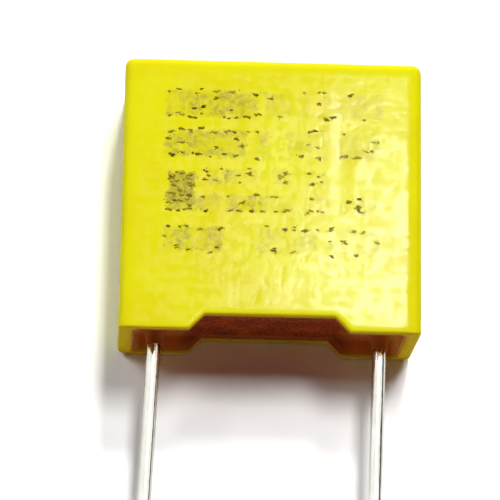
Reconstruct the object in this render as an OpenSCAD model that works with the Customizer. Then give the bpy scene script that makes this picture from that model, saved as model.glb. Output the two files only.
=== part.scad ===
// Box-type film capacitor. A moulded case, open on the lead side, holds a flat film
// winding with metal-sprayed ends. A lead wire is welded to each spray, and resin
// pots them in the case. Each piece is drawn in the mould's own frame: the feet
// stand on y = 0, the closed end points to +Y and z = 0 is the middle of the thickness.
// The finished part lies on its back face. Millimetres and degrees.

/* [Case] */
// Width of the case at the feet, along the lead pitch
case_w = 13; // [12.6:0.1:15]
// Height of the case, from the feet to the closed end
case_h = 12; // [9:0.1:16]
// Thickness of the case at the feet
case_t = 6; // [5:0.1:9]
// Thickness of the two narrow end walls
end_wall = 0.6; // [0.4:0.05:0.8]
// Thickness of the two large walls
face_wall = 0.5; // [0.4:0.05:0.8]
// Thickness of the closed end
roof_wall = 0.6; // [0.4:0.05:1.2]
// Mould draft of every side, outside and inside
draft = 0.25; // [0:0.05:0.6]
// Radius of the four upright edges, at the feet
edge_r = 0.45; // [0.3:0.05:0.8]
// Radius of the edges round the closed end
roof_r = 0.4; // [0.2:0.05:0.7]
// Radius of the upright edges of the cavity, at the feet
inner_r = 0.3; // [0.25:0.05:0.6]
// Radius round the cavity's closed end
inner_roof_r = 0.3; // [0.15:0.05:0.5]

/* [Foot notch] */
// Width of the notch's roof, in both large walls
notch_w = 5.6; // [3:0.1:7]
// Depth of the notch, which leaves the feet at its sides
notch_depth = 0.65; // [0.3:0.05:1]
// Slope of the notch's two flanks against the feet
notch_slope = 45; // [30:1:80]
// Radius where the flanks meet the notch's roof
notch_r = 0.15; // [0.05:0.05:0.3]

/* [Potting resin] */
// Depth of the resin's surface behind the notch's roof
fill_gap = 0.2; // [0.2:0.05:0.8]
// How far the resin climbs up the walls
wall_climb = 0.75; // [0.3:0.05:0.8]
// Lean of the climbing resin's surface away from the walls
climb_lean = 10; // [5:1:12]
// Radius where the climbing surface meets the level one
pool_r = 0.2; // [0.1:0.05:0.25]
// How far the resin climbs up each lead, which may be past the feet
lead_climb = 1; // [0.4:0.05:1.1]
// Width of the resin's collar round each lead, at the resin's surface
collar_w = 0.7; // [0.2:0.05:0.8]
// Thickness of the resin's edge where it ends on a wall or a lead
lip = 0.04; // [0.02:0.01:0.08]

/* [Winding] */
// Resin between the winding and each large wall
winding_gap = 0.35; // [0.2:0.05:0.8]
// Resin between the winding and the closed end
winding_roof_gap = 0.45; // [0.2:0.05:1]
// Resin that covers the winding on the lead side
resin_cover = 0.9; // [0.5:0.05:1.5]
// Thickness of the metal sprayed on each end of the winding
spray_t = 0.4; // [0.2:0.05:0.7]
// How far the spray's rim stays inside the winding's outline
spray_inset = 0.12; // [0.05:0.01:0.4]

/* [Leads] */
// Distance between the two leads, at the feet
pitch = 9.8; // [9:0.1:10.4]
// Diameter of the lead wire
lead_d = 0.6; // [0.4:0.05:0.8]
// Length of each lead beyond the feet
lead_len = 17; // [3:0.5:30]
// Length of wire that is welded along each spray
weld_len = 5.5; // [1:0.1:5.7]
// How far the wire is pressed into the spray
weld_sink = 0.1; // [0.08:0.01:0.2]
// Chamfer round each lead's cut end
tip_chamfer = 0.05; // [0.02:0.01:0.1]
// Lean of the left lead beyond the feet, to the left on the print side
lean_left = 2.3; // [0.6:0.1:5]
// Lean of the right lead beyond the feet, to the left on the print side
lean_right = 1.2; // [0.6:0.1:5]

/* [Hidden] */
$fn = 96;

// How far a cutting shape runs past what it cuts
over = 1;

// How far the cutting shape of an upright edge runs past the edge's ends
past = 0.05;

// How far a rounding's circle stands proud of the flat sides that it joins
proud = 0.002;

// Loss of half width per unit of height on a drafted side
taper = tan(draft);

// Cavity of the case, measured at the feet
cavity_w = case_w - 2 * end_wall;
cavity_t = case_t - 2 * face_wall;
cavity_h = case_h - roof_wall;

// Heights over the feet: the resin's surface, its edge on the walls, which stays below
// the rim, and the winding's two round sides
resin_y = notch_depth + fill_gap;
climb_y = max(resin_y - wall_climb, lip);
winding_y0 = resin_y + resin_cover;
winding_y1 = cavity_h - winding_roof_gap;

// The winding fits the drafted cavity at its narrow closed end
winding_t = cavity_t - 2 * cavity_h * taper - 2 * winding_gap;

// The leads set how far the sprays reach, and the sprays leave the rest to the film
lead_r = lead_d / 2;
weld_y0 = winding_y0 + spray_inset;
weld_y1 = weld_y0 + weld_len;
spray_x = pitch / 2 - lead_r + weld_sink;
film_x = spray_x - spray_t;

// Lays the part on its drafted back face, with that face's centre at the origin
module lying() {
    rotate([-draft, 0, 0])
        translate([0, -case_h / 2, case_t / 2 - case_h / 2 * taper])
            children();
}

// Extrudes an outline, drawn in Y across X, through the whole width along X
module across(width) {
    rotate([0, 90, 0])
        linear_extrude(width, center = true)
            children();
}

// What a rounding takes off a corner that turns clockwise from a side facing +Y, with
// the rounding's centre at the origin. Its circle is slightly large, so that it
// crosses the flat sides and doesn't only graze them.
module corner_waste(r, turn = 90) {
    reach = 2 * r;
    difference() {
        polygon([
            [0, 0], [0, reach], [reach * tan(turn / 2), reach],
            [reach * sin(turn), reach * cos(turn)]
        ]);
        circle(r + proud);
    }
}

// Side view of a box from y = 0 to y = h, whose sides lean inwards and whose two far
// corners are rounded
module side_outline(half_w, h, r, lean) {
    slope = tan(lean);
    arc_y = h - r;
    difference() {
        polygon([
            [-half_w, 0], [half_w, 0], [half_w - h * slope, h], [h * slope - half_w, h]
        ]);
        for (side = [0, 1])
            mirror([side, 0])
                translate([half_w - arc_y * slope - r / cos(lean), arc_y])
                    corner_waste(r, 90 - lean);
    }
}

// What the rounding of an upright edge takes off, with its cone's axis on the Y axis
module edge_waste(r, h, lean) {
    slope = tan(lean);
    difference() {
        translate([0, -past, 0])
            cube([2 * r, h + 2 * past, 2 * r]);
        translate([0, -2 * past, 0])
            rotate([-90, 0, 0])
                cylinder(
                    h = h + 4 * past,
                    r1 = r + proud + 2 * past * slope,
                    r2 = r + proud - (h + 2 * past) * slope);
    }
}

// Box from y = 0 to y = h whose sides lean inwards: upright edges of radius r at y = 0,
// which shrinks with the lean, and edges of radius far_r round the far end
module tapered_box(w, h, t, r, far_r, lean) {
    difference() {
        intersection() {
            linear_extrude(2 * t, center = true)
                side_outline(w / 2, h, far_r, lean);
            across(2 * w)
                side_outline(t / 2, h, far_r, lean);
        }
        for (x = [0, 1], z = [0, 1])
            mirror([x, 0, 0])
                mirror([0, 0, z])
                    translate([w / 2 - r, 0, t / 2 - r])
                        edge_waste(r, h, lean);
    }
}

// Form that fits the cavity from below the feet up to y = top_y. At y = inset_y it is
// set in from the walls, and from there on it leans inwards by more than they do.
module cavity_form(inset, inset_y, top_y, far_r, extra_lean = 0) {
    grown = (over + inset_y) * tan(draft + extra_lean) - inset_y * taper - inset;
    translate([0, -over, 0])
        tapered_box(
            cavity_w + 2 * grown, top_y + over, cavity_t + 2 * grown,
            inner_r + grown, far_r, draft + extra_lean);
}

module cavity() {
    cavity_form(0, 0, cavity_h, inner_roof_r);
}

// Notch through both large walls, which keeps the board clear between the feet
module foot_notch() {
    roof_x = notch_w / 2;
    foot_x = roof_x + notch_depth / tan(notch_slope);
    linear_extrude(2 * case_t, center = true)
        difference() {
            polygon([
                [-foot_x, -over], [foot_x, -over], [foot_x, 0], [roof_x, notch_depth],
                [-roof_x, notch_depth], [-foot_x, 0]
            ]);
            for (side = [0, 1])
                mirror([side, 0])
                    translate([roof_x - notch_r * tan(notch_slope / 2), notch_depth - notch_r])
                        corner_waste(notch_r, notch_slope);
        }
}

module case() {
    color([0.91, 0.88, 0.13])
        lying()
            difference() {
                tapered_box(case_w, case_h, case_t, edge_r, roof_r, draft);
                cavity();
                foot_notch();
            }
}

// Flattened roll's outline across its axis, set in from the winding's own
module roll_outline(inset) {
    r = winding_t / 2 - inset;
    for (y = [winding_y0 + winding_t / 2, winding_y1 - winding_t / 2])
        translate([0, y])
            circle(r);
    translate([-r, winding_y0 + winding_t / 2])
        square([2 * r, winding_y1 - winding_y0 - winding_t]);
}

module winding_form() {
    across(2 * film_x)
        roll_outline(0);
}

module spray_form(side) {
    translate([side * (film_x + spray_t / 2), 0, 0])
        across(spray_t)
            roll_outline(spray_inset);
}

// Wire that runs straight from its weld to the feet and leans from there to its cut end.
// A ball, slightly proud of the wire, rounds the bend between the two.
module lead_form(side) {
    lean = side < 0 ? lean_left : lean_right;
    translate([side * pitch / 2, 0, 0]) {
        union() {
            rotate([-90, 0, 0])
                cylinder(h = weld_y1, r = lead_r);
            sphere(lead_r + proud);
        }
        rotate([90, 0, -lean])
            rotate_extrude()
                polygon([
                    [0, 0], [lead_r, 0], [lead_r, lead_len - tip_chamfer],
                    [lead_r - tip_chamfer, lead_len], [0, lead_len]
                ]);
    }
}

module film_winding() {
    color([0.82, 0.83, 0.85])
        lying()
            winding_form();
}

// Sprayed metal with the groove that its lead is welded into
module end_spray(side) {
    color([0.5, 0.5, 0.52])
        lying()
            difference() {
                spray_form(side);
                lead_form(side);
            }
}

module end_spray_left() {
    end_spray(-1);
}

module end_spray_right() {
    end_spray(1);
}

module lead(side) {
    color([0.86, 0.87, 0.87])
        lying()
            lead_form(side);
}

module lead_left() {
    lead(-1);
}

module lead_right() {
    lead(1);
}

// Resin up to its surface, which climbs the walls in a film that thins towards its edge
module resin_pool() {
    difference() {
        translate([-case_w, climb_y, -case_t])
            cube([2 * case_w, case_h, 2 * case_t]);
        cavity_form(lip, climb_y, resin_y, pool_r, climb_lean);
        translate([0, lip, 0])
            foot_notch();
    }
}

// Concave collar of resin that climbs a lead
module resin_collar(side) {
    width = collar_w - lip;
    root = resin_cover / 2;
    arc_r = (width * width + lead_climb * lead_climb) / (2 * width);
    translate([side * pitch / 2, resin_y, 0])
        rotate([90, 0, 0])
            rotate_extrude()
                difference() {
                    translate([0, -root])
                        square([lead_r + collar_w, root + lead_climb]);
                    translate([lead_r + lip + arc_r, lead_climb])
                        circle(arc_r);
                }
}

module potting_resin() {
    color([0.38, 0.16, 0.08])
        lying()
            difference() {
                intersection() {
                    cavity();
                    union() {
                        resin_pool();
                        resin_collar(-1);
                        resin_collar(1);
                    }
                }
                winding_form();
                for (side = [-1, 1]) {
                    spray_form(side);
                    lead_form(side);
                }
            }
}

case();
potting_resin();
film_winding();
end_spray_left();
end_spray_right();
lead_left();
lead_right();
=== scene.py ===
"""A yellow box-type film capacitor that lies on white paper, print up.

The case, its leads and the worn print are modelled here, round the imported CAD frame.
Lengths are in millimetres in the mould's own frame, as in the part's source: the feet
stand on y = 0, the closed end points to +Y and z = 0 is the middle of the thickness.
LAY turns that frame into the row's, in metres.
"""
import math
import random

import bmesh
import bpy
from mathutils import Matrix, Quaternion, Vector, noise


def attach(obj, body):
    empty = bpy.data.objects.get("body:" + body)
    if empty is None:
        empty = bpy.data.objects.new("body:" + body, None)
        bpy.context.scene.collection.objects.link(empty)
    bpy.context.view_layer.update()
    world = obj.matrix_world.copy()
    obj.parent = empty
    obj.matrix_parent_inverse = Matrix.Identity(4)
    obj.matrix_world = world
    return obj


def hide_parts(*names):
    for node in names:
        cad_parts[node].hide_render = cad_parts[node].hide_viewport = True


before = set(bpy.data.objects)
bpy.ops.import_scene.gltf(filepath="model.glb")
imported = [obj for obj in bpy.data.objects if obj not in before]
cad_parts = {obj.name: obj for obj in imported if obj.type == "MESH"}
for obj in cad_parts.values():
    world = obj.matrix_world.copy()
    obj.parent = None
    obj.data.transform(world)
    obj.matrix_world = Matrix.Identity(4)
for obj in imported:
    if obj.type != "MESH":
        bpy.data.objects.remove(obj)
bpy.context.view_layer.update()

MM = 0.001

# Case, as in the part's source
CASE_W, CASE_H, CASE_T = 13.0, 12.0, 6.0
END_WALL, FACE_WALL, ROOF_WALL = 0.6, 0.5, 0.6
DRAFT = math.radians(0.25)
TAPER = math.tan(DRAFT)
EDGE_R, ROOF_R = 0.45, 0.4
INNER_R, INNER_ROOF_R = 0.3, 0.3
NOTCH_ROOF_X = 2.8
NOTCH_DEPTH = 0.65
NOTCH_SLOPE = math.radians(45)
NOTCH_R = 0.15

# Where the walls' inner faces and the notch's ends come to
CAVITY_X = CASE_W / 2 - END_WALL
CAVITY_Z = CASE_T / 2 - FACE_WALL
NOTCH_END_X = NOTCH_ROOF_X + NOTCH_DEPTH / math.tan(NOTCH_SLOPE)

# What the source leaves sharp on the case: its lower rim and the feet's corners
RIM_R = 0.13
MOUTH_R = 0.05
FOOT_R = 0.2
# Hollow of the large walls, where the plastic shrank as it set
SINK = 0.012

# Leads, as in the part's source
PITCH = 9.8
LEAD_R = 0.3
LEAD_LEN = 17.0
WELD_END = 7.37
LEAN = {"left": math.radians(2.3), "right": math.radians(1.2)}

# What the source leaves off the leads: the length over which each one bends, how much
# narrower its cut end is, and its uneven tin. The tin is a little thinner than the
# source's, with lumps as a height and its features round and along the wire
LEAD_BEND = 1.2
LEAD_TIP = 0.048
TIN_HOLLOW = 0.004
TIN_LUMPS = [(0.007, 0.8, 0.9), (0.003, 2.2, 4.0)]

# Rows of print on the upper face: the middle and the height of each, and its runs of
# worn cells from one x to the next
PRINT_ROWS = [
    (9.95, 1.2, [(-4.6, -0.75), (-0.3, 0.75), (1.2, 1.5), (2.0, 4.7)]),
    (8.2, 1.25, [(-4.6, -1.2), (-0.7, -0.1), (0.65, 2.35), (2.9, 4.65)]),
    (6.75, 0.6, [(-2.9, -2.35), (-2.0, -0.6), (0.1, 0.7), (1.5, 2.3)]),
    (5.55, 0.7, [(-4.5, -2.3), (-1.95, -0.75), (-0.5, 0.9), (1.5, 2.4), (3.1, 4.6)]),
    (3.95, 1.15, [(-4.6, -2.2), (-0.55, 1.85), (2.45, 4.6)]),
]
# A denser block of print: the x and y of its middle, its width and its height
PRINT_BLOCK = (-3.9, 6.2, 1.1, 1.35)

# Film of ink: its reach from a row's middle in shares of the row's height, the fades of
# its edges, how far they wander across and along, and where it fades to the right and
# to what share
FILM_REACH = 0.42
ROW_FADE, RUN_FADE, BLOCK_FADE = 0.14, 0.12, 0.1
WANDER_X, WANDER_Y = 0.16, 0.13
FILM_FADE_X, FILM_FADED = (-1.4, 0.6), 0.45

# Flecks of ink: a seed whose flecks look like no letter, and how far they stand out of
# the wall and reach into it
FLECK_SEED = 31
FLECK_OUT, FLECK_IN = 0.004, 0.02
FLECK_CORNERS = 12
# Lines of heaps in a row, each with its height in shares of the row's and its chance of
# a heap, then what share of them is left in runs that start on the left and elsewhere
HEAP_LINES = ((0.44, 0.8), (0.0, 0.5), (-0.44, 0.8))
LEFT_START, LEFT_SHARE, OTHER_SHARE = -1, 0.95, 0.6
BLOCK_FLECKS = 34
# Least and most half width and half height of a fleck, and its turn in radians
ROW_FLECK = ((0.07, 0.15), (0.035, 0.07))
BLOCK_FLECK = ((0.06, 0.16), (0.04, 0.09))
FLECK_TURN = (-0.4, 0.4)

# A shallow groove that was rubbed into the upper face: its line, the widths of its
# left and right flank, its ends along the case and their fade, the stretch over which
# the right flank grows and how many times as wide it gets, and the groove's depth
GROOVE_X, GROOVE_LEFT, GROOVE_RIGHT = 2.95, 0.5, 0.65
GROOVE_Y, GROOVE_FADE = (5.9, 11.2), 0.8
GROOVE_FLAT, GROOVE_SPREAD = (7.2, 8.8), 4
GROOVE_DEPTH = 0.006

# Camera: its turn in degrees and its place against the middle of the case, its lens and
# sensor, and its clipping range in metres
CAMERA_TURN = (-12.64, 2.12, -1.41)
CAMERA_OFFSET = (0.83, 1.75)
CAMERA_DISTANCE = 134.44
CAMERA_LENS = 220.2
CAMERA_SENSOR = 36
CAMERA_CLIP = (0.005, 10)

# Lamps: how far they are in metres, and for each one its lean from straight above and
# its width, in degrees along X and Y as the part sees it, and its level. The key and
# the top lamp throw the shadow towards the feet, and the others fill it
LAMP_DISTANCE = 0.5
LAMPS = {
    "key": ((9, 19.5), (9, 13), 0.38),
    "top": ((7.2, 37), (5, 6), 0.25),
    "left": ((-36, 21), (27, 13), 0.21),
    "right": ((42, 52), (18, 14), 0.13),
    "front": ((0, -84), (50, 10), 0.004),
}
# The lamp of the upper face's sheen also turns about its own middle, in degrees
SHEEN_LAMP, SHEEN_TURN = ((5.9, 12.8), (5.2, 6.4), 0.163), -20
# Even light from all round
WORLD_LEVEL = 0.002

# Paper: half its side in metres, and how bright it is to the light and to the camera
PAPER_HALF = 1.0
PAPER_LIT, PAPER_SEEN = 0.86, 1.42

LAY = (
    Matrix.Scale(MM, 4)
    @ Matrix.Rotation(-DRAFT, 4, "X")
    @ Matrix.Translation((0, -CASE_H / 2, CASE_T / 2 - CASE_H / 2 * TAPER))
)


# ---------------------------------------------------------------- colours

def rgb(red, green, blue):
    """Linear colour of an sRGB one with channels from 0 to 255."""
    def linear(value):
        value /= 255
        return value / 12.92 if value <= 0.04045 else ((value + 0.055) / 1.055) ** 2.4
    return (linear(red), linear(green), linear(blue), 1.0)


def grey(value):
    """Linear grey."""
    return (value, value, value, 1)


YELLOWS = rgb(236, 230, 3), rgb(233, 221, 2)
# Resin on the rim, orange with painted light bounced from the resin and through the wall
RIM_RESIN_AND_BOUNCE = rgb(250, 202, 14)
# Thicker resin on the rim, darkened as painted shade
RIM_RESIN_AND_SHADE = rgb(236, 152, 28)
# Painted shade on the inner half of the upper wall's rim, partly the resin's brown
RIM_SHADE_BROWN = rgb(132, 56, 18)
INK_FILM = rgb(146, 130, 58)
INKS = rgb(116, 98, 24), rgb(196, 184, 48)
RESINS = rgb(142, 48, 16), rgb(182, 70, 20)
# Resin in the feet, painted paler than in the notch as painted light
FOOT_RESINS_LIT = rgb(212, 108, 36), rgb(236, 148, 58)
# Film on the walls in the notch and in the feet, painted paler in the feet as painted light
WALL_FILMS = rgb(196, 108, 40), rgb(226, 146, 44)
# A painted glow on the end walls' film, for light that shines through the end walls
END_WALL_GLOW = rgb(250, 190, 96)
COLLAR = rgb(186, 108, 34)
TINS = rgb(253, 252, 246), rgb(240, 237, 222)
STAIN = rgb(134, 88, 36)
ZINCS = rgb(120, 121, 124), rgb(168, 169, 171)
WRAPS = rgb(206, 208, 212), rgb(232, 232, 234)
CARD = (0.02, 0.018, 0.015, 1)


# ---------------------------------------------------------------- nodes

class Nodes:
    """Short ways to add nodes to a tree."""

    def __init__(self, tree):
        self.tree = tree

    def node(self, kind, inputs=None, **settings):
        made = self.tree.nodes.new(kind)
        for key, value in settings.items():
            setattr(made, key, value)
        for key, value in (inputs or {}).items():
            self.feed(made.inputs[key], value)
        return made

    def feed(self, socket, value):
        """Links a socket or sets its number or colour."""
        if isinstance(value, bpy.types.NodeSocket):
            self.tree.links.new(value, socket)
        else:
            socket.default_value = value

    def math(self, operation, a, b=0.0):
        return self.node("ShaderNodeMath", {0: a, 1: b}, operation=operation).outputs[0]

    def times(self, product, *factors):
        for factor in factors:
            product = self.math("MULTIPLY", product, factor)
        return product

    def remap(self, value, low, high, to_low=0.0, to_high=1.0, ease="SMOOTHSTEP"):
        return self.node(
            "ShaderNodeMapRange",
            {"Value": value, "From Min": low, "From Max": high, "To Min": to_low,
             "To Max": to_high},
            interpolation_type=ease,
        ).outputs["Result"]

    def mix(self, factor, a, b):
        """Mixes two colours."""
        return self.node(
            "ShaderNodeMix", {0: factor, 6: a, 7: b}, data_type="RGBA"
        ).outputs[2]


class Shader(Nodes):
    """A new material with its Principled shader."""

    def __init__(self, name, **sockets):
        self.material = bpy.data.materials.new(name)
        self.material.use_nodes = True
        super().__init__(self.material.node_tree)
        self.main = self.tree.nodes["Principled BSDF"]
        self.set(**sockets)

    def set(self, **sockets):
        """Feeds the Principled shader's sockets, with _ for each space in their names."""
        for socket, value in sockets.items():
            self.feed(self.main.inputs[socket.replace("_", " ")], value)

    def place(self, scale=(1, 1, 1)):
        """The place on the object, in millimetres, stretched by a scale for each axis."""
        coordinate = self.node("ShaderNodeTexCoord").outputs["Object"]
        factors = [s / MM for s in scale]
        return self.node(
            "ShaderNodeVectorMath", {0: coordinate, 1: factors}, operation="MULTIPLY"
        ).outputs["Vector"]

    def grain(self, scale, stretch=(1, 1, 1), detail=3.0, roughness=0.55):
        """Noise from 0 to 1 with a scale in features per millimetre."""
        return self.node(
            "ShaderNodeTexNoise",
            {"Vector": self.place(stretch), "Scale": scale, "Detail": detail,
             "Roughness": roughness},
        ).outputs["Fac"]

    def mould_place(self):
        """The place across the case, along it from the feet, and up from the paper."""
        across, along, up = self.node("ShaderNodeSeparateXYZ", {0: self.place()}).outputs
        return across, self.math("ADD", along, CASE_H / 2), up

    def above_rim(self, across, along):
        """How far a place stands in from the case's lower rim, which the notch lifts."""
        rim = self.remap(
            self.math("ABSOLUTE", across), NOTCH_ROOF_X, NOTCH_END_X, NOTCH_DEPTH, 0.0,
            "LINEAR",
        )
        return self.math("SUBTRACT", along, rim)

    def inside(self, value, start, end, fade):
        """1 between two values, and 0 from a fade's length outside them."""
        off = self.math("ABSOLUTE", self.math("SUBTRACT", value, (start + end) / 2))
        half = (end - start) / 2
        return self.remap(off, half, half + fade, 1.0, 0.0)

    def relief(self, *layers):
        """Bumps over one another, as pairs of a height and its full range."""
        normal = None
        for height, depth in layers:
            inputs = {"Height": height, "Distance": depth * MM}
            if normal:
                inputs["Normal"] = normal
            normal = self.node("ShaderNodeBump", inputs).outputs["Normal"]
        self.set(Normal=normal)


# ---------------------------------------------------------------- materials

def ink_film(s, across, along):
    """Where rubbing left a thin film of ink in the rows of print and in the block."""
    ragged = s.grain(3.0, roughness=0.7)
    aside = s.remap(ragged, 0.3, 0.7, -WANDER_X, WANDER_X, "LINEAR")
    back = s.remap(ragged, 0.3, 0.7, WANDER_Y, -WANDER_Y, "LINEAR")
    across, along = s.math("ADD", across, aside), s.math("ADD", along, back)
    film = None
    for middle, height, runs in PRINT_ROWS:
        reach = height * FILM_REACH
        in_row = s.inside(along, middle - reach, middle + reach, ROW_FADE)
        for start, end in runs:
            in_run = s.times(in_row, s.inside(across, start, end, RUN_FADE))
            film = s.math("MAXIMUM", film, in_run) if film else in_run
    fine = s.grain(4.5, detail=4.0, roughness=0.75)
    broad = s.grain(1.3, detail=2.0)
    faded = s.remap(across, *FILM_FADE_X, 1.0, FILM_FADED)
    film = s.times(
        film, s.remap(fine, 0.36, 0.66, 0.2, 1.0), s.remap(broad, 0.38, 0.62, 0.25, 1.0),
        faded,
    )
    x, y, wide, high = PRINT_BLOCK
    block = s.times(
        s.inside(across, x - wide / 2, x + wide / 2, BLOCK_FADE),
        s.inside(along, y - high / 2, y + high / 2, BLOCK_FADE),
        s.remap(fine, 0.34, 0.6, 0.55, 1.0),
    )
    return s.math("MAXIMUM", film, block)


def groove(s, across, along):
    """Height from 0 to 1 that is lowest in the rubbed groove."""
    left = s.remap(across, GROOVE_X - GROOVE_LEFT, GROOVE_X)
    wide = s.remap(along, *GROOVE_FLAT, GROOVE_RIGHT, GROOVE_SPREAD * GROOVE_RIGHT)
    gone = s.math("DIVIDE", s.math("SUBTRACT", across, GROOVE_X), wide)
    right = s.remap(gone, 0.0, 1.0, 1.0, 0.0)
    deep = s.times(
        s.math("MINIMUM", left, right), s.inside(along, *GROOVE_Y, GROOVE_FADE)
    )
    return s.math("SUBTRACT", 1.0, deep)


def yellow_plastic():
    s = Shader("yellow_plastic", IOR=1.46, Specular_IOR_Level=0.12)
    across, along, up = s.mould_place()
    off_middle = s.math("ABSOLUTE", across)
    colour = s.mix(s.remap(s.grain(0.3, detail=2.0), 0.35, 0.7), *YELLOWS)

    # Resin wiped on the rim, thinner only on the outer part of the end walls. Its orange
    # gold also paints the warm light that the resin bounces onto the rim and that comes
    # through the wall
    rim = s.remap(s.above_rim(across, along), 0.02, 0.09, 1.0, 0.0)
    wiped_and_painted = s.remap(s.grain(2.2), 0.3, 0.62, 0.55, 1.0)
    colour = s.mix(s.times(rim, wiped_and_painted), colour, RIM_RESIN_AND_BOUNCE)
    # Darker amber by the paper and on the inner half of the end walls' rim: thicker resin
    # there, and partly painted shade on the shaded rim
    thick_and_shaded = s.math(
        "MAXIMUM", s.remap(up, 0.15, 1.4, 1.0, 0.0),
        s.remap(off_middle, CAVITY_X, CAVITY_X + END_WALL / 2, 1.0, 0.0),
    )
    colour = s.mix(s.times(rim, thick_and_shaded, wiped_and_painted, 0.5), colour, RIM_RESIN_AND_SHADE)

    # Painted shade: the dark line along the inner half of the upper wall's rim, short of
    # the end walls, partly the brown of resin that climbs there
    inner_rim_shade = s.times(
        s.remap(up, CASE_T - 0.42, CASE_T - 0.22, 1.0, 0.0),
        s.math("GREATER_THAN", up, CASE_T / 2),
        s.remap(off_middle, CAVITY_X - 0.3, CAVITY_X - 0.05, 1.0, 0.0),
    )
    colour = s.mix(s.times(inner_rim_shade, rim, 0.85), colour, RIM_SHADE_BROWN)

    # What is left of the ink, on the upper face alone
    on_top = s.math("GREATER_THAN", up, CASE_T - 0.2)
    film = s.times(ink_film(s, across, along), on_top, 0.7)
    colour = s.mix(film, colour, INK_FILM)

    # Patches and rubbed streaks change the gloss, and the rim is dull
    patches = s.grain(2.6, detail=2.0, roughness=0.5)
    lengthwise = s.grain(3.5, (1.0, 0.15, 1.0), detail=1.0)
    crosswise = s.grain(3.5, (0.15, 1.0, 1.0), detail=1.0)
    rubbed = s.math("ADD", lengthwise, crosswise)
    worn = s.math("ADD", s.times(rubbed, 0.5), patches)
    gloss = s.remap(worn, 0.82, 1.18, 0.075, 0.18)
    s.set(Base_Color=colour, Roughness=s.math("MAXIMUM", gloss, s.times(rim, 0.8)))

    # From fine to broad: the mould's texture, the streaks and patches, waves of the thin
    # wall, a margin on the right that leans outwards beside the wall's hollow, and the
    # groove
    ragged = s.math("ADD", across, s.times(crosswise, 0.6))
    margin = s.remap(ragged, CASE_W / 2 - 0.45, CASE_W / 2 + 1.0, 1.0, 0.0)
    s.relief(
        (s.grain(30, detail=2.0), 0.0003),
        (rubbed, 0.0011),
        (patches, 0.0042),
        (s.grain(0.45, detail=1.0, roughness=0.5), 0.014),
        (margin, 0.045),
        (groove(s, across, along), GROOVE_DEPTH),
    )
    return s.material


def brown_resin():
    s = Shader("brown_resin", IOR=1.5, Specular_IOR_Level=0.08)
    across, along, up = s.mould_place()
    off_middle = s.math("ABSOLUTE", across)
    off_centre = s.math("ABSOLUTE", s.math("SUBTRACT", up, CASE_T / 2))

    # In the feet it is painted paler than in the notch, as painted light for the brighter
    # light there
    cloud = s.grain(0.8)
    in_foot_lit = s.remap(off_middle, NOTCH_ROOF_X + 0.1, NOTCH_ROOF_X + 1.3)
    colour = s.mix(
        in_foot_lit, s.mix(s.remap(cloud, 0.36, 0.64), *RESINS), s.mix(cloud, *FOOT_RESINS_LIT)
    )

    # The thin film on the walls lets the yellow through. On the end walls a pale orange is
    # painted over it, a painted glow for the light that shines through the walls
    lift = s.math("ADD", s.above_rim(across, along), s.times(cloud, 0.16))
    thin = s.remap(lift, 0.2, 0.62, 1.0, 0.0)
    on_large = s.remap(off_centre, CAVITY_Z - 0.3, CAVITY_Z - 0.14)
    on_end_glow = s.remap(off_middle, CAVITY_X - 0.4, CAVITY_X - 0.15)
    # The film too is painted paler in the feet, as painted light
    colour = s.mix(s.times(thin, on_large), colour, s.mix(in_foot_lit, *WALL_FILMS))
    colour = s.mix(s.times(on_end_glow, 0.85), colour, END_WALL_GLOW)

    # A browner collar round each lead
    off_lead = s.math("SUBTRACT", off_middle, PITCH / 2)
    squares = [s.math("POWER", off, 2.0) for off in (off_lead, off_centre)]
    from_lead = s.math("SQRT", s.math("ADD", *squares))
    collar = s.remap(from_lead, LEAD_R + 0.05, LEAD_R + 0.4, 0.7, 0.0)
    colour = s.mix(collar, colour, COLLAR)

    fine = s.grain(9.0)
    s.set(Base_Color=colour, Roughness=s.remap(fine, 0.4, 0.7, 0.25, 0.42))
    s.relief((s.grain(0.9, detail=2.0), 0.05), (fine, 0.003))
    return s.material


def tinned_wire():
    s = Shader("tinned_wire", Metallic=1.0)
    blotch = s.grain(1.3, (1.0, 0.5, 1.0))
    colour = s.mix(s.remap(blotch, 0.35, 0.7), *TINS)

    # A ragged film of resin where the wire leaves the collar
    along = s.mould_place()[1]
    ragged = s.remap(s.grain(4.5, (1.0, 0.3, 1.0)), 0.3, 0.7, -0.45, 0.35, "LINEAR")
    stain = s.remap(s.math("ADD", along, ragged), -0.4, -0.25)
    s.set(
        Base_Color=s.mix(stain, colour, STAIN),
        Roughness=s.remap(blotch, 0.35, 0.7, 0.12, 0.24),
    )
    s.relief((s.grain(9, (1.0, 0.05, 1.0)), 0.003), (s.grain(3.5, (1.0, 0.6, 1.0)), 0.012))
    return s.material


def sprayed_zinc():
    s = Shader("sprayed_zinc", Metallic=1.0)
    grit = s.grain(14, detail=4.0, roughness=0.75)
    s.set(
        Base_Color=s.mix(s.remap(grit, 0.3, 0.7), *ZINCS),
        Roughness=s.remap(grit, 0.3, 0.7, 0.75, 0.5),
    )
    s.relief((grit, 0.05))
    return s.material


def film_wrap():
    s = Shader("film_wrap", IOR=1.49)
    turns = s.grain(10, (0.04, 1.0, 1.0), detail=2.0)
    s.set(
        Base_Color=s.mix(s.remap(turns, 0.35, 0.65), *WRAPS),
        Roughness=s.remap(turns, 0.35, 0.65, 0.28, 0.42),
    )
    s.relief((turns, 0.01))
    return s.material


def worn_ink():
    s = Shader("worn_ink", Roughness=0.55, Specular_IOR_Level=0.2)
    patch = s.grain(2.6, detail=4.0, roughness=0.75)
    s.set(Base_Color=s.mix(s.remap(patch, 0.36, 0.64), *INKS))
    s.relief((s.grain(20, detail=2.0), 0.002))
    return s.material


# ---------------------------------------------------------------- meshes

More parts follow.
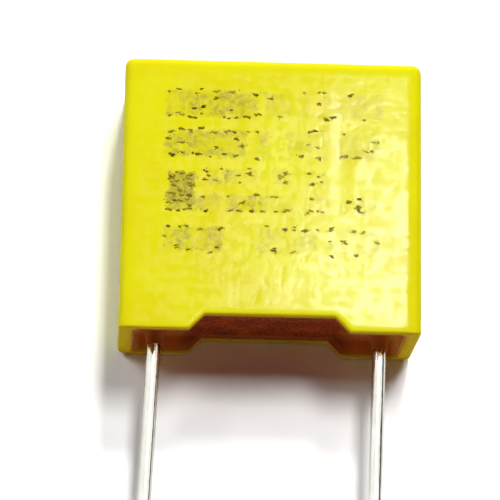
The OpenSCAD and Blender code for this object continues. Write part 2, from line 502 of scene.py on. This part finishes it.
# How finely the case is divided: along the half notch's roof, its two bends and a foot,
# round an upright corner and across an end wall; then from the inside of the roof over
# the cavity, the mouth and the rim up the walls to the outside of the roof
NOTCH_STEPS, NOTCH_BEND_STEPS, FOOT_BEND_STEPS = 12, 4, 5
FOOT_STEPS, CORNER_STEPS, END_STEPS = 8, 8, 20
INNER_ROOF_STEPS, CAVITY_STEPS, MOUTH_STEPS = 4, 10, 4
RIM_STEPS, WALL_STEPS, ROOF_STEPS = 7, 48, 8
# The least radius that the taper leaves a corner
LEAST_R = 0.004

# How finely a lead is divided: round it, and the length of a step along it
LEAD_AROUND, LEAD_STEP = 36, 0.1


def make_piece(name, vertices, faces, material):
    """A smooth closed mesh in the mould's frame, laid down as the part lies."""
    mesh = bpy.data.meshes.new(name)
    mesh.from_pydata([LAY @ Vector(v) for v in vertices], [], faces)
    built = bmesh.new()
    built.from_mesh(mesh)
    bmesh.ops.recalc_face_normals(built, faces=built.faces)
    built.to_mesh(mesh)
    built.free()
    mesh.polygons.foreach_set("use_smooth", [True] * len(mesh.polygons))
    mesh.materials.append(material)
    piece = bpy.data.objects.new(name, mesh)
    bpy.context.scene.collection.objects.link(piece)
    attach(piece, "root")
    return piece


def weigh_normals(piece):
    """Keeps large flat faces flat beside their small roundings."""
    modifier = piece.modifiers.new("flat_faces", "WEIGHTED_NORMAL")
    modifier.weight = 100
    modifier.keep_sharp = True


def loft(rows):
    """Faces between closed rows of equally many vertices, with both ends capped."""
    count = len(rows[0])
    vertices = [v for row in rows for v in row]
    faces = [tuple(range(count - 1, -1, -1))]
    for r in range(len(rows) - 1):
        for i in range(count):
            j = (i + 1) % count
            a, b = r * count, (r + 1) * count
            faces.append((a + i, a + j, b + j, b + i))
    last = (len(rows) - 1) * count
    faces.append(tuple(range(last, last + count)))
    return vertices, faces


def steps(start, end, count, both=True):
    """Evenly spaced values from start to end, without the end unless both are asked."""
    return [start + (end - start) * i / count for i in range(count + both)]


def lower_edge():
    """Half of a large wall's lower edge, from its middle outwards, up to the last bend.

    Each point is x, y and the lean of the edge's normal into the wall."""
    bend = math.tan(NOTCH_SLOPE / 2)
    roof_end = NOTCH_ROOF_X - NOTCH_R * bend
    foot_start = NOTCH_END_X + FOOT_R * bend
    points = [(x, NOTCH_DEPTH, 0.0) for x in steps(0, roof_end, NOTCH_STEPS, both=False)]
    for a in steps(0, NOTCH_SLOPE, NOTCH_BEND_STEPS):
        points.append(
            (roof_end + NOTCH_R * math.sin(a), NOTCH_DEPTH - NOTCH_R * (1 - math.cos(a)), a)
        )
    for a in steps(NOTCH_SLOPE, 0, FOOT_BEND_STEPS):
        points.append((foot_start - FOOT_R * math.sin(a), FOOT_R * (1 - math.cos(a)), a))
    return points


EDGE = lower_edge()


def stations():
    """Where the columns of vertices stand round the case: the kind of wall they are on,
    its sides, and the place along it."""
    half = [("edge", x, y, a) for x, y, a in EDGE]
    half += [("foot", f) for f in steps(0, 1, FOOT_STEPS)[1:]]
    turns = steps(0, 90, CORNER_STEPS)[1:-1]
    made = []
    for face, side in ((1, 1), (-1, -1)):
        wall = [(-side, p) for p in reversed(half)] + [(side, p) for p in half[1:]]
        made += [("large", face, s, p) for s, p in wall]
        made += [("corner", side, face, a) for a in reversed(turns)]
        made += [("end", side, face * f) for f in steps(1, -1, END_STEPS)]
        made += [("corner", side, -face, a) for a in turns]
    return made


STATIONS = stations()


def sink(x, y):
    """How far a large wall has sunk in at a place."""
    if abs(x) > CASE_W / 2 - EDGE_R or not 0 < y < CASE_H - ROOF_R:
        return 0.0
    wide = math.cos(math.pi / 2 * x / (CASE_W / 2 - EDGE_R)) ** 2
    long = math.sin(math.pi * y / (CASE_H - ROOF_R)) ** 2
    return SINK * wide * long


def ring(half_w, half_t, r, up, top=None, share=0.0, cap_y=None, sunk=False):
    """One row of vertices on a rounded rectangle of the given half sizes at y = 0.

    up is how far the row stands off the lower edge. share moves it on from there
    towards y = top, and cap_y puts it at one height all over."""
    row = []
    for station in STATIONS:
        kind = station[0]
        x_edge = y_edge = lean = 0.0
        if kind == "large":
            _, face, side, spec = station
            if spec[0] == "edge":
                _, x_edge, y_edge, lean = spec
            else:
                x_edge = EDGE[-1][0] + spec[1] * (half_w - r - EDGE[-1][0])
        y = y_edge + math.cos(lean) * up
        x_at = x_edge + math.sin(lean) * up
        if cap_y is not None:
            y, x_at = cap_y, x_edge
        elif top is not None:
            y = y + (top - y) * share
            x_at = x_at + (x_edge - x_at) * share
        height = min(y, top) if top is not None else y
        w, t = half_w - height * TAPER, half_t - height * TAPER
        round_r = max(r - height * TAPER, LEAST_R)
        if kind == "large":
            z = t - (sink(x_at, y) if sunk else 0.0)
            row.append((side * x_at, y, face * z))
        elif kind == "corner":
            _, side, face, a = station
            a = math.radians(a)
            row.append(
                (side * (w - round_r + round_r * math.cos(a)), y,
                 face * (t - round_r + round_r * math.sin(a)))
            )
        else:
            _, side, f = station
            row.append((side * w, y, f * (t - round_r)))
    return row


def dome(w, t, r, height, dome_r, count):
    """Rows over a rounded roof, from its flat part down to the walls."""
    start = height - dome_r
    rows = []
    for a in steps(math.pi / 2, 0, count, both=False):
        inset = dome_r * (1 - math.cos(a))
        rows.append(
            ring(w - inset, t - inset, r - inset, 0, top=start,
                 cap_y=start + dome_r * math.sin(a))
        )
    return rows


def case_shell(material):
    """The moulded case with rounded rims, as one loft from its cavity to its roof."""
    half_w, half_t = CASE_W / 2, CASE_T / 2
    cave_h = CASE_H - ROOF_WALL
    rows = dome(CAVITY_X, CAVITY_Z, INNER_R, cave_h, INNER_ROOF_R, INNER_ROOF_STEPS)
    top = cave_h - INNER_ROOF_R
    for share in steps(1, 0, CAVITY_STEPS, both=False):
        rows.append(ring(CAVITY_X, CAVITY_Z, INNER_R, MOUTH_R, top, share))
    for a in steps(math.pi / 2, 0, MOUTH_STEPS):
        grow, up = MOUTH_R * (1 - math.sin(a)), MOUTH_R * (1 - math.cos(a))
        rows.append(ring(CAVITY_X + grow, CAVITY_Z + grow, INNER_R + grow, up))
    for a in steps(0, math.pi / 2, RIM_STEPS):
        inset, up = RIM_R * (1 - math.sin(a)), RIM_R * (1 - math.cos(a))
        rows.append(ring(half_w - inset, half_t - inset, EDGE_R - inset, up))
    top = CASE_H - ROOF_R
    for share in steps(0, 1, WALL_STEPS)[1:]:
        rows.append(ring(half_w, half_t, EDGE_R, RIM_R, top, share, sunk=True))
    rows += reversed(dome(half_w, half_t, EDGE_R, CASE_H, ROOF_R, ROOF_STEPS))
    vertices, faces = loft(rows)
    piece = make_piece("case_shell", vertices, faces, material)
    weigh_normals(piece)
    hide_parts("case")
    return piece


def lead_wire(side, material):
    """Tinned wire: straight in the resin, bent at the feet and leaning beyond them."""
    sign = -1 if side == "left" else 1
    seed = Vector((sign * 7.0, 0, 0))
    length = WELD_END + LEAD_LEN
    count = round(length / LEAD_STEP)
    step = length / count
    x, y = sign * PITCH / 2, WELD_END
    rows = []
    for i in range(count + 1):
        gone = length * i / count - WELD_END
        share = min(max((gone + LEAD_BEND / 2) / LEAD_BEND, 0.0), 1.0)
        angle = -LEAN[side] * share * share * (3 - 2 * share)
        if i:
            x += step * math.sin(angle)
            y -= step * math.cos(angle)
        tip = LEAD_TIP if i == count else 0.0
        row = []
        for k in range(LEAD_AROUND):
            a = 2 * math.pi * k / LEAD_AROUND
            out = Vector((math.cos(a), 0, math.sin(a)))
            swell = sum(
                depth * noise.noise(out * around + seed + Vector((0, y * along, 0)))
                for depth, around, along in TIN_LUMPS
            )
            r = LEAD_R - TIN_HOLLOW + (swell if gone > 0 else 0.0) - tip
            wide = r * math.cos(a)
            row.append(
                (x + wide * math.cos(angle), y + wide * math.sin(angle), r * math.sin(a))
            )
        rows.append(row)
    vertices, faces = loft(rows)
    piece = make_piece(f"lead_wire_{side}", vertices, faces, material)
    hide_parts(f"lead_{side}")
    return piece


def print_flecks(material):
    """What rubbing left of the print: small flecks and dashes of ink, without letters."""
    draw = random.Random(FLECK_SEED)
    vertices, faces = [], []

    def spot(x, y, half_w, half_h, turn):
        """A thin ragged plate, with its foot inside the wall."""
        low = len(vertices)
        high = low + FLECK_CORNERS
        outline = []
        for k in range(FLECK_CORNERS):
            a = 2 * math.pi * k / FLECK_CORNERS
            reach = draw.uniform(0.6, 1.15)
            u, v = half_w * reach * math.cos(a), half_h * reach * math.sin(a)
            outline.append(
                (x + u * math.cos(turn) - v * math.sin(turn),
                 y + u * math.sin(turn) + v * math.cos(turn))
            )
        for lift in (-FLECK_IN, FLECK_OUT):
            for u, v in outline:
                vertices.append((u, v, CASE_T / 2 - v * TAPER - sink(u, v) + lift))
        faces.append(tuple(range(high - 1, low - 1, -1)))
        faces.append(tuple(range(high, high + FLECK_CORNERS)))
        for k in range(FLECK_CORNERS):
            n = (k + 1) % FLECK_CORNERS
            faces.append((low + k, low + n, high + n, high + k))

    def fleck(x, y, sizes):
        """A large spot, often with one or two small ones that broke off it."""
        half_w, half_h = [draw.uniform(*size) for size in sizes]
        turn = draw.uniform(*FLECK_TURN)
        spot(x, y, half_w, half_h, turn)
        for _ in range(draw.choice((0, 1, 1, 2))):
            spot(
                x + draw.uniform(-1.7, 1.7) * half_w, y + draw.uniform(-1.9, 1.9) * half_h,
                half_w * draw.uniform(0.2, 0.4), half_h * draw.uniform(0.3, 0.55), turn,
            )

    def strewn(x0, x1, y, height, share):
        """Small heaps of flecks along a row's run, with bare places between them."""
        x = x0 + 0.15
        while x < x1:
            for line, chance in HEAP_LINES:
                if draw.random() > chance * share:
                    continue
                # The heaps of the middle line lie the most loosely
                loose = 1 if line else 3
                heap_x = x + draw.uniform(-0.12, 0.12)
                heap_y = y + height * (line + draw.uniform(-0.09, 0.09) * loose)
                for _ in range(draw.choice((1, 2, 2, 3))):
                    fleck(
                        heap_x + draw.gauss(0, 0.07), heap_y + draw.gauss(0, 0.035),
                        ROW_FLECK,
                    )
            x += draw.uniform(0.36, 0.52)

    for y, height, runs in PRINT_ROWS:
        for x0, x1 in runs:
            strewn(x0, x1, y, height, LEFT_SHARE if x0 < LEFT_START else OTHER_SHARE)
    x, y, wide, high = PRINT_BLOCK
    for _ in range(BLOCK_FLECKS):
        fleck(
            x + draw.uniform(-0.5, 0.5) * wide, y + draw.uniform(-0.5, 0.5) * high,
            BLOCK_FLECK,
        )
    return make_piece("print_flecks", vertices, faces, material)


# ---------------------------------------------------------------- light and camera

def make_camera():
    turn = [math.radians(v) for v in CAMERA_TURN]
    to_camera = (
        Matrix.Rotation(turn[2], 3, "Z")
        @ Matrix.Rotation(turn[1], 3, "Y")
        @ Matrix.Rotation(turn[0], 3, "X")
    )
    offset = Vector((*CAMERA_OFFSET, -CAMERA_DISTANCE)) * MM
    middle = Vector((0, 0, CASE_T / 2)) * MM
    data = bpy.data.cameras.new("camera")
    data.sensor_width = CAMERA_SENSOR
    data.lens = CAMERA_LENS
    data.clip_start, data.clip_end = CAMERA_CLIP
    camera = bpy.data.objects.new("camera", data)
    camera.matrix_world = (
        Matrix.Translation(middle - to_camera.transposed() @ offset)
        @ to_camera.transposed().to_4x4()
    )
    bpy.context.scene.collection.objects.link(camera)
    bpy.context.scene.camera = camera


def soft_light(name, lean, wide, level, turn=0.0):
    """A rectangular lamp over the part, leaning from straight above by two angles.

    wide is its width in degrees along X and Y, as the part sees it, before it turns
    about its own middle. level is the brightness that it alone gives a white level
    surface."""
    direction = Vector((*(math.tan(math.radians(v)) for v in lean), 1)).normalized()
    data = bpy.data.lights.new(name, "AREA")
    data.shape = "RECTANGLE"
    data.size, data.size_y = (
        2 * LAMP_DISTANCE * math.tan(math.radians(w / 2)) for w in wide
    )
    data.energy = level * math.pi ** 2 * LAMP_DISTANCE ** 2 / direction.z
    lamp = bpy.data.objects.new(name, data)
    lamp.location = direction * LAMP_DISTANCE
    lamp.rotation_mode = "QUATERNION"
    across = (Vector((1, 0, 0)) - direction * direction.x).normalized()
    axes = Matrix((across, direction.cross(across), direction)).transposed()
    lamp.rotation_quaternion = (
        axes.to_quaternion() @ Quaternion((0, 0, 1), math.radians(turn))
    )
    bpy.context.scene.collection.objects.link(lamp)
    return lamp


def make_world(level):
    """Even light from all round, with a white backdrop for the camera and reflections."""
    world = bpy.data.worlds.new("studio")
    bpy.context.scene.world = world
    world.use_nodes = True
    nodes = Nodes(world.node_tree)
    path = nodes.node("ShaderNodeLightPath").outputs
    mirrored = nodes.math("MAXIMUM", path["Is Glossy Ray"], path["Is Transmission Ray"])
    seen = nodes.math("MAXIMUM", path["Is Camera Ray"], mirrored)
    background = world.node_tree.nodes["Background"]
    background.inputs["Color"].default_value = grey(1)
    nodes.feed(
        background.inputs["Strength"], nodes.remap(seen, 0.0, 1.0, level, 1.0, "LINEAR")
    )


def make_stage(name, vertices, faces, material):
    """A piece of the studio, with its vertices in metres."""
    mesh = bpy.data.meshes.new(name)
    mesh.from_pydata(vertices, [], faces)
    mesh.materials.append(material)
    piece = bpy.data.objects.new(name, mesh)
    bpy.context.scene.collection.objects.link(piece)
    return piece


def dark_card(name, start, end, distance, height):
    """A low dark card that only reflections show, round part of the horizon.

    Its start and end are in degrees, and its distance and height in millimetres."""
    s = Shader(name, Roughness=0.9, Specular_IOR_Level=0.0, Base_Color=CARD)
    turns = steps(math.radians(start), math.radians(end), 24)
    vertices = [
        (distance * MM * math.cos(a), distance * MM * math.sin(a), z * MM)
        for a in turns for z in (0.2, height)
    ]
    faces = [(2 * i, 2 * i + 2, 2 * i + 3, 2 * i + 1) for i in range(len(turns) - 1)]
    card = make_stage(name, vertices, faces, s.material)
    card.visible_camera = card.visible_diffuse = card.visible_shadow = False
    card.visible_transmission = False


def make_paper():
    s = Shader("white_paper", Roughness=0.95, Specular_IOR_Level=0.0)
    seen = s.node("ShaderNodeLightPath").outputs["Is Camera Ray"]
    s.set(Base_Color=s.mix(seen, grey(PAPER_LIT), grey(PAPER_SEEN)))
    corners = [
        (x * PAPER_HALF, y * PAPER_HALF, 0) for x, y in ((-1, -1), (1, -1), (1, 1), (-1, 1))
    ]
    paper = make_stage("paper", corners, [(0, 1, 2, 3)], s.material)


# ---------------------------------------------------------------- the scene

def dress(node, material):
    """Gives a node that the frame brings its finish."""
    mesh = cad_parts[node].data
    mesh.materials.clear()
    mesh.materials.append(material)


make_camera()
make_world(WORLD_LEVEL)
make_paper()
# These lamps light the surfaces alone, and the sheen's lamp is in reflections alone
for name, lamp in LAMPS.items():
    soft_light(name, *lamp).visible_glossy = False
soft_light("sheen", *SHEEN_LAMP, SHEEN_TURN).visible_diffuse = False
dark_card("dark_card", start=-75, end=75, distance=38, height=20)

case_shell(yellow_plastic())
wire = tinned_wire()
for side in ("left", "right"):
    lead_wire(side, wire)
print_flecks(worn_ink())
dress("potting_resin", brown_resin())
dress("film_winding", film_wrap())
zinc = sprayed_zinc()
dress("end_spray_left", zinc)
dress("end_spray_right", zinc)

bpy.context.scene.view_settings.view_transform = "Standard"
